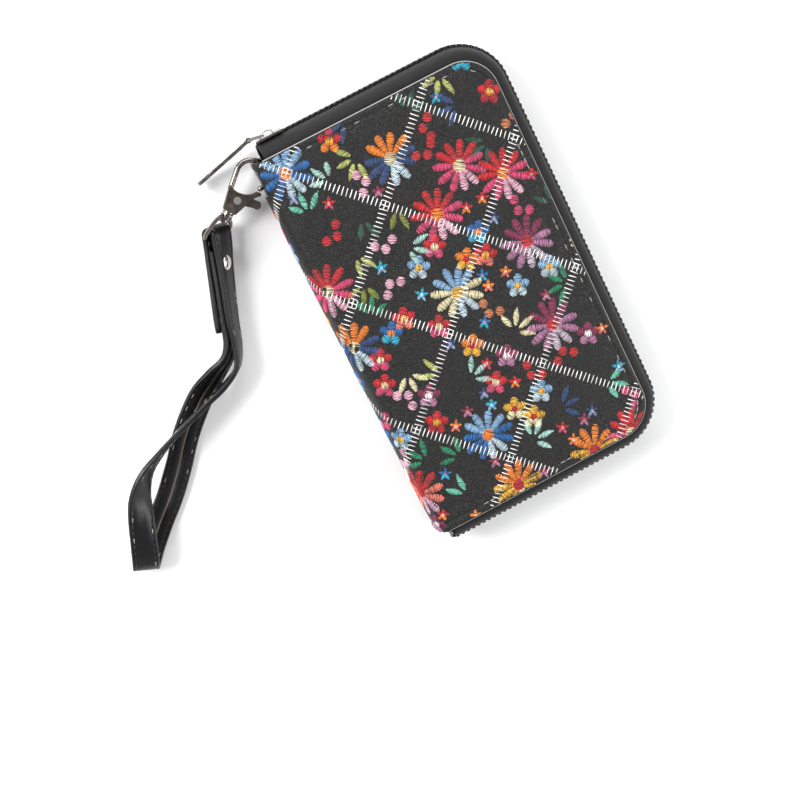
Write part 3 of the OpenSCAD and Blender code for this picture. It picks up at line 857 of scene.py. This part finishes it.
def edge_path(offset_start=0.0, step=1.0):
    """Points round the three zipped sides: (x, y, outward x, outward y), evenly spaced."""
    straight_x = EDGE_X - CORNER_R
    straight_y = HALF_L - CORNER_R
    radius = CORNER_R + TAPE_OUT
    top = straight_x - TAPE_END_X
    turn = math.pi / 2 * radius
    side = 2 * straight_y
    total = 2 * top + 2 * turn + side
    rows = []
    for i in range(int((total - offset_start) / step) + 1):
        w = offset_start + i * step
        if w <= top:
            rows.append((TAPE_END_X + w, HALF_L, 0, 1))
        elif w <= top + turn:
            t = math.pi / 2 - (w - top) / radius
            rows.append((straight_x + CORNER_R * math.cos(t), straight_y + CORNER_R * math.sin(t),
                         math.cos(t), math.sin(t)))
        elif w <= top + turn + side:
            rows.append((EDGE_X, straight_y - (w - top - turn), 1, 0))
        elif w <= top + 2 * turn + side:
            t = -(w - top - turn - side) / radius
            rows.append((straight_x + CORNER_R * math.cos(t), -straight_y + CORNER_R * math.sin(t),
                         math.cos(t), math.sin(t)))
        else:
            rows.append((straight_x - (w - top - 2 * turn - side), -HALF_L, 0, -1))
    return rows


def half_z(z, sign):
    """Height z of the back half, turned over for the front half."""
    return z if sign < 0 else TOP_Z - z


TEETH_Z = 10.2
TAPE = 0.8


def tape_piece(name, sign):
    """Woven tape: a flange under the leather, a soft curve, and a corded edge at the teeth."""
    rise = TEETH_Z - LEATHER
    outer, inner = [(-4.0, LEATHER + 0.05)], [(-4.0, LEATHER + TAPE)]
    for i in range(13):
        t = math.pi / 2 * i / 12
        puff = 0.12 * math.sin(3 * t)
        outer.append(((TAPE_OUT + puff) * math.sin(t), TEETH_Z - (rise + puff) * math.cos(t)))
        inner.append(((TAPE_OUT - TAPE) * math.sin(t), TEETH_Z - (rise - TAPE) * math.cos(t)))
    cord = [(TAPE_OUT + 0.25, TEETH_Z + 0.3), (TAPE_OUT + 0.1, TEETH_Z + 0.75),
            (TAPE_OUT - 0.5, TEETH_Z + 0.85), (TAPE_OUT - 0.95, TEETH_Z + 0.4)]
    profile = outer + cord + inner[::-1]
    profile = [(q[0], half_z(q[1], sign)) for q in profile]
    stations = []
    for x, y, nx, ny in edge_path(step=1.5):
        stations.append((np.array([x, y, 0.0]), np.array([nx, ny, 0.0]), np.array([0, 0, 1.0])))
    return sweep(name, stations, profile if sign > 0 else profile[::-1], TAPE_CLOTH)


def rounded_box(size, bevel, segments=2):
    """Points and faces of a box about the origin with rounded edges."""
    bm = bmesh.new()
    bmesh.ops.create_cube(bm, size=1.0)
    for v in bm.verts:
        v.co = Vector((v.co.x * size[0], v.co.y * size[1], v.co.z * size[2]))
    bmesh.ops.bevel(bm, geom=list(bm.edges), offset=bevel, segments=segments, profile=0.6,
                    affect="EDGES")
    bm.verts.ensure_lookup_table()
    points = np.array([v.co[:] for v in bm.verts])
    faces = [[v.index for v in f.verts] for f in bm.faces]
    bm.free()
    return points, faces


def teeth_piece(name, sign, offset):
    """Moulded teeth, each a rounded head on a narrower root that grips the tape's cord."""
    head, head_faces = rounded_box((1.7, 1.7, 2.2), 0.42)
    root, root_faces = rounded_box((1.15, 2.0, 1.5), 0.3, 1)
    root = root + np.array([0, -0.9, -0.25])
    unit_points = np.vstack([head, root])
    unit_faces = head_faces + [[i + len(head) for i in f] for f in root_faces]
    verts, faces = [], []
    for x, y, nx, ny in edge_path(1.2 + offset, TEETH_PITCH):
        out = np.array([nx, ny, 0.0])
        along = np.array([-ny, nx, 0.0])
        up = np.array([0, 0, -sign], float)
        centre = np.array([x, y, half_z(TEETH_Z + 0.95, sign)]) + out * (TAPE_OUT + 0.55)
        start = len(verts)
        verts += [centre + along * p[0] + out * p[1] + up * p[2] for p in unit_points]
        flip = np.linalg.det(np.array([along, out, up])) < 0
        faces += [[start + i for i in (f[::-1] if flip else f)] for f in unit_faces]
    return make(name, verts, faces, [TEETH_PLASTIC])


for side_name, sign, body, offset in (("front", 1, "wallet_front", 0.0),
                                      ("back", -1, "wallet_back", TEETH_PITCH / 2)):
    tape = tape_piece(side_name + "_zip_tape_cloth", sign)
    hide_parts(*[f"{side_name}_zip_tape_{part}" for part in ("top", "side", "bottom")])
    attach(tape, body)
    teeth = teeth_piece(side_name + "_zip_moulded_teeth", sign, offset)
    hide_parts(side_name + "_zip_teeth")
    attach(teeth, body)

# ---------------------------------------------------------------- stitching round the covers

STITCH_LONG, STITCH_GAP = 2.6, 0.7


def margin_stitches(name, sign):
    """Running stitch in the groove round the three zipped sides of a cover."""
    rows = Threads()
    s_in, y_in = WIDE - CORNER_R, HALF_L - CORNER_R
    r = CORNER_R - STITCH_INSET
    pitch = STITCH_LONG + STITCH_GAP
    top = s_in - HALF_SPINE - 3
    turn = math.pi / 2 * r
    side = 2 * y_in
    total = 2 * top + 2 * turn + side

    def at(w):
        if w < top:
            return (HALF_SPINE + 3 + w, HALF_L - STITCH_INSET)
        w -= top
        if w < turn:
            t = math.pi / 2 - w / r
            return (s_in + r * math.cos(t), y_in + r * math.sin(t))
        w -= turn
        if w < side:
            return (WIDE - STITCH_INSET, y_in - w)
        w -= side
        if w < turn:
            t = -w / r
            return (s_in + r * math.cos(t), -y_in + r * math.sin(t))
        return (s_in - (w - turn), STITCH_INSET - HALF_L)

    for i in range(int(total / pitch)):
        a, b = at(i * pitch), at(i * pitch + STITCH_LONG)
        # About one stitch in three gets the light grey thread, a painted glint.
        mat = random.choice((STITCH_THREAD, STITCH_THREAD, GLINT_THREAD))
        rows.add((a[0] * sign, a[1]), (b[0] * sign, b[1]), 0.5, 0.36, mat, 0.6)
    return rows.build(name, on_skin)


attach(margin_stitches("front_edge_stitches", 1), "wallet_front")
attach(margin_stitches("back_edge_stitches", -1), "wallet_back")

# ---------------------------------------------------------------- wrist strap

STRAP_WIDE, STRAP_THICK, LAYER_GAP = 12.0, 2.4, 0.3
LAYER_STEP = STRAP_THICK + LAYER_GAP
STRAP_SEAM, STRAP_STITCH, STRAP_STITCH_PITCH = 4.3, 2.3, 3.1
# The strap's route, as in the CAD model: place, then azimuth and elevation of its width
OUTER_STRAND = [
    (-80.5, 72, 10.3, 160, 45), (-82.5, 66, 9.6, 160, 50), (-84.8, 60, 9, 160, 56),
    (-89, 48.5, 8.6, 160, 62), (-93.5, 36, 8.2, 160, 66), (-97, 24.5, 7.8, 155, 72),
    (-101.5, 16, 8.2, 130, 80), (-110, 11.5, 9.2, 108, 86), (-120, 8.5, 10, 108, 86),
    (-130, 5.2, 10.4, 108, 84), (-140, 1.8, 10.8, 109, 81), (-150, -2.2, 11.2, 114, 75),
    (-159, -7, 11.8, 121, 62), (-166, -14.5, 12.6, 139, 40), (-170.5, -24, 13.2, 154, 15),
    (-174.5, -34, 13, 158, 3), (-178, -42.5, 10.8, 158, 0),
]
LOOP_END = [(-179.4, -45.8, 7, 158, 0)]
INNER_STRAND = [
    (-177, -43.6, 3.4, 155, 0), (-172, -38.5, 1.9, 150, 0), (-164, -31, 1.5, 144, 0),
    (-155, -23, 1.4, 140, 0), (-145.5, -13, 1.4, 138, 0), (-137.5, -3.5, 1.6, 134, 2),
    (-130, 4, 2.2, 130, 8), (-121, 11.5, 3.4, 130, 20), (-112, 16.8, 5.3, 130, 42),
    (-104, 21, 6.6, 146, 60), (-99.5, 27, 7.1, 155, 68), (-95.8, 36.8, 7.1, 160, 66),
    (-91.2, 49.3, 7.3, 160, 62), (-86.9, 60.8, 7.5, 160, 56), (-84.9, 66, 7.8, 160, 51),
]


def spline(points, steps):
    """The smooth curve through the points, as the CAD model draws it."""
    p = np.array(points, float)
    rows = []
    for i in range(len(p) - 1):
        a, b, c, d = p[max(i - 1, 0)], p[i], p[i + 1], p[min(i + 2, len(p) - 1)]
        for k in range(steps):
            t = k / steps
            rows.append(0.5 * (2 * b + (c - a) * t + (2 * a - 5 * b + 4 * c - d) * t * t
                               + (3 * b - a - 3 * c + d) * t ** 3))
    return rows + [p[-1]]


FINE = 9
strap_path = spline(OUTER_STRAND + LOOP_END + INNER_STRAND, FINE)


def strap_station(i):
    """Point, width direction and outer face direction at a step of the path."""
    p = strap_path
    go = unit(p[min(i + 1, len(p) - 1)][:3] - p[max(i - 1, 0)][:3])
    az, el = math.radians(p[i][3]), math.radians(p[i][4])
    raw = np.array([math.cos(el) * math.cos(az), math.cos(el) * math.sin(az), math.sin(el)])
    across = unit(raw - go * (raw @ go))
    return p[i][:3], across, unit(np.cross(across, go))


first_point, first_across, first_face = strap_station(0)
first_go = unit(np.cross(first_face, first_across))
WRAP_AXIS = first_point - first_face * LAYER_STEP


def strap_stations():
    rows = []
    for j in range(39, 8, -2):
        point, across, face = strap_station(j)
        spread = 0.05 * max(j / 3 - 8, 0)
        rows.append((point - face * (2 * LAYER_STEP + spread), across, -face))
    for k in range(17):
        a = math.pi * (1 - k / 16.5)
        out = first_face * math.cos(a) - first_go * math.sin(a)
        rows.append((WRAP_AXIS + out * LAYER_STEP, first_across, out))
    return rows + [strap_station(i) for i in range(len(strap_path))]


def strap_section():
    """Half outline of the band: rounded edges, stitched grooves, and a butted seam inside."""
    w, t = STRAP_WIDE / 2, STRAP_THICK / 2
    outer = [(-w + 0.45, t - 0.08), (-w + 0.9, t), (-4.75, t), (-4.3, t - 0.22), (-3.85, t),
             (-1.5, t + 0.03), (1.5, t + 0.03), (3.85, t), (4.3, t - 0.22), (4.75, t),
             (w - 0.9, t), (w - 0.45, t - 0.08)]
    edge = [(w - 0.12, t - 0.4), (w, 0.35), (w - 0.16, 0.06), (w, -0.25), (w - 0.12, 0.4 - t)]
    inner = [(w - 0.45, 0.08 - t), (w - 0.9, -t), (4.75, -t), (4.3, 0.22 - t), (3.85, -t),
             (0.55, -t), (0.28, 0.2 - t), (-0.28, 0.2 - t), (-0.55, -t), (-3.85, -t),
             (-4.3, 0.22 - t), (-4.75, -t), (-w + 0.9, -t), (-w + 0.45, 0.08 - t)]
    return outer + edge + inner + [(-q[0], q[1]) for q in reversed(edge)]


band_section = strap_section()
band_rows = strap_stations()
band_slots = []
for _ in range(len(band_rows) - 1):
    band_slots += [1 if band_section[k][1] < -0.9 and abs(band_section[k][0]) < 0.3
                   and abs(band_section[(k + 1) % len(band_section)][0]) < 0.3 else 0
                   for k in range(len(band_section))]
band = sweep("strap_band", band_rows, band_section, [STRAP_LEATHER, SEAM_CORE],
             face_material=band_slots + [0, 0])
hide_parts("strap_outer_half", "strap_inner_half")
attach(band, "wrist_strap")


def strap_stitches(name, face):
    """Two rows of stitches on one face of the band, 1 outside or -1 inside, with its twists."""
    steps = [np.linalg.norm(b[0] - a[0]) for a, b in zip(band_rows, band_rows[1:])]
    lengths = np.concatenate([[0], np.cumsum(steps)])
    centre, across, out = (np.array([r[k] for r in band_rows]) for k in range(3))
    stitches = Threads()
    for q in (-STRAP_SEAM, STRAP_SEAM):
        w = 1.0
        while w < lengths[-1] - STRAP_STITCH_PITCH:
            # One stitch in four gets the light grey thread, a painted glint.
            mat = random.choice((STITCH_THREAD, STITCH_THREAD, STITCH_THREAD, GLINT_THREAD))
            stitches.add((w, q), (w + STRAP_STITCH, q), 0.42, 0.26, mat, 0.6)
            w += STRAP_STITCH_PITCH

    def place(points):
        w, q, h = points[:, 0], points[:, 1], points[:, 2]
        pick = [np.column_stack([np.interp(w, lengths, v[:, k]) for k in range(3)])
                for v in (centre, across, out)]
        lift = face * (STRAP_THICK / 2 - 0.15 + np.maximum(h, 0))
        return pick[0] + pick[1] * q[:, None] + pick[2] * lift[:, None]

    return stitches.build(name, place)


for name, face in (("strap_stitches_outer", 1), ("strap_stitches_inner", -1)):
    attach(strap_stitches(name, face), "wrist_strap")

rivet_point, _, rivet_face = strap_station(18)
DOME = [(0.001, 1.1), (0.9, 1.05), (1.8, 0.9), (2.6, 0.62),
        (3.15, 0.3), (3.4, 0.0), (3.3, -0.1), (0.001, -0.1)]
front_cap = lathe("cap_a", rivet_point + rivet_face * STRAP_THICK / 2, rivet_face,
                  DOME[::-1], NICKEL)
rear_cap = lathe("cap_b", rivet_point - rivet_face * (2 * LAYER_STEP + STRAP_THICK / 2),
                 -rivet_face, DOME[::-1], NICKEL)
shaft = tube("shaft", [rivet_point - rivet_face * (2 * LAYER_STEP + 1), rivet_point + rivet_face], 1.2,
             NICKEL, first_out=first_across)
rivet = joined("strap_rivet_caps", [front_cap, rear_cap, shaft])
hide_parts("strap_rivet")
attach(rivet, "wrist_strap")

# ---------------------------------------------------------------- gussets between cover and pocket

GUSSET_LOW_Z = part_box("rear_gussets")[0].z / MM
GUSSET_HIGH_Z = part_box("rear_gussets")[1].z / MM
GUSSET_FROM_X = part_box("rear_gussets")[0].x / MM
GUSSET_TO_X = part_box("rear_gussets")[1].x / MM
GUSSET_EDGE_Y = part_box("rear_gussets")[1].y / MM
GUSSET_CLOTH = 0.3
GUSSET_HEM = 3.0
GUSSET_FOLD = 3.4
PANEL_EDGE_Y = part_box("coin_pocket_front")[1].y / MM


def gusset_profile():
    """From a hem on the cover, in round one soft fold, up to a hem on the coin pocket."""
    rows = [(GUSSET_EDGE_Y - 1 - GUSSET_HEM, GUSSET_LOW_Z), (GUSSET_EDGE_Y - 1, GUSSET_LOW_Z)]
    for i in range(1, 24):
        t = i / 24
        y = (GUSSET_EDGE_Y - 0.6) * (1 - t) + PANEL_EDGE_Y * t - GUSSET_FOLD * math.sin(math.pi * t)
        rows.append((y, GUSSET_LOW_Z + (GUSSET_HIGH_Z - GUSSET_LOW_Z) * t))
    return rows + [(PANEL_EDGE_Y, GUSSET_HIGH_Z), (PANEL_EDGE_Y - GUSSET_HEM, GUSSET_HIGH_Z)]


def gusset_cloth(name, sign):
    """A pair of folded cloth walls, one at each end; sign is -1 at the back, 1 at the front."""
    profile = gusset_profile()
    columns = even(GUSSET_FROM_X, GUSSET_TO_X, 2.0)
    points, faces = [], []
    for end in (-1, 1):
        start = len(points)
        for x in columns:
            ruck = 0.25 * math.sin(x / 5.0 + end)
            points += [(x, end * (y + ruck * (0 < i < len(profile) - 2)), half_z(z, sign))
                       for i, (y, z) in enumerate(profile)]
        n = len(profile)
        for i in range(len(columns) - 1):
            for k in range(n - 1):
                a = start + i * n + k
                faces.append((a, a + 1, a + n + 1, a + n))
    obj = make(name, points, faces, [LINING_CLOTH], closed=False)
    thick = obj.modifiers.new("thickness", "SOLIDIFY")
    thick.thickness = GUSSET_CLOTH * MM
    thick.offset = 0
    return bake_modifiers(obj)


rear_gusset = gusset_cloth("rear_gusset_cloth", -1)
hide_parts("rear_gussets")
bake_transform(rear_gusset)
front_gusset = gusset_cloth("front_gusset_cloth", 1)
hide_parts("front_gussets")
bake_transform(front_gusset)

# ---------------------------------------------------------------- metal parts


def dress(node_name, material, bevel=0.25, rim=None, segments=3):
    """Gives a CAD node its finish and rounds its sharp edges a little."""
    obj = frame["nodes"][node_name]
    obj.data.materials.clear()
    obj.data.materials.append(material)
    if rim is not None:
        obj.data.materials.append(rim)
    if bevel:
        weld = obj.modifiers.new("weld", "WELD")
        weld.merge_threshold = 1e-6
        soft = obj.modifiers.new("edges", "BEVEL")
        soft.width = bevel * MM
        soft.segments = segments
        soft.limit_method = "ANGLE"
        soft.angle_limit = math.radians(35)
        soft.harden_normals = False
        if rim is not None:
            soft.material = 1
    return obj


def arched_bail():
    """A bent wire that stands out from the slider and holds the link."""
    low, high = (np.array(v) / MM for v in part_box("zip_slider_bail"))
    wire = 0.42
    points = []
    for i in range(25):
        t = math.pi * i / 24
        points.append((low[0] + wire + (high[0] - low[0] - 2 * wire) * (1 - math.cos(t)) / 2,
                       low[1] + (high[1] - low[1] - wire) * math.sin(t) ** 0.6,
                       (low[2] + high[2]) / 2))
    bail = tube("slider_bail_wire", points, wire, NICKEL)
    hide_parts("zip_slider_bail")
    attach(bail, "slider")


arched_bail()
for name in ("pull_link", "coin_slider", "coin_slider_bail",
             "coin_pull", "zip_end_stop"):
    dress(name, NICKEL, 0.18)
dress("zip_pull", DARK_NICKEL, 0.3, NICKEL)
dress("zip_slider", DARK_NICKEL, 0.18)
dress("clasp_hook", DARK_NICKEL, 0)
dress("clasp_body", BRUSHED_DARK, 0.45, DARK_NICKEL)
dress("clasp_lever", BRUSHED_DARK, 0.3, DARK_NICKEL)
dress("clasp_rivet", NICKEL, 0.2)
dress("strap_ring", DARK_NICKEL, 0)
ring_mesh = frame["nodes"]["strap_ring"].data
ring_mesh.polygons.foreach_set("use_smooth", [True] * len(ring_mesh.polygons))
dress("swivel_post", DARK_NICKEL, 0.35)
dress("d_ring", DARK_NICKEL, 0)
dress("ring_tab", STRAP_LEATHER, 0.3)
for name in ("back_board", "front_board"):
    dress(name, BOARD, 0)
for name in ("back_lining", "front_lining", "spine_lining", "coin_pocket_ends"):
    dress(name, LINING_CLOTH, 0.12)
for name in ("coin_pocket_rear", "coin_pocket_front"):
    dress(name, POCKET_LEATHER, 0.2)
for side_name in ("back", "front"):
    for layer in range(1, 5):
        dress(f"{side_name}_card_pocket_{layer}", POCKET_LEATHER, 0.15)
dress("coin_zip_tapes", TAPE_CLOTH, 0.1)
dress("coin_zip_teeth", NICKEL, 0.1)
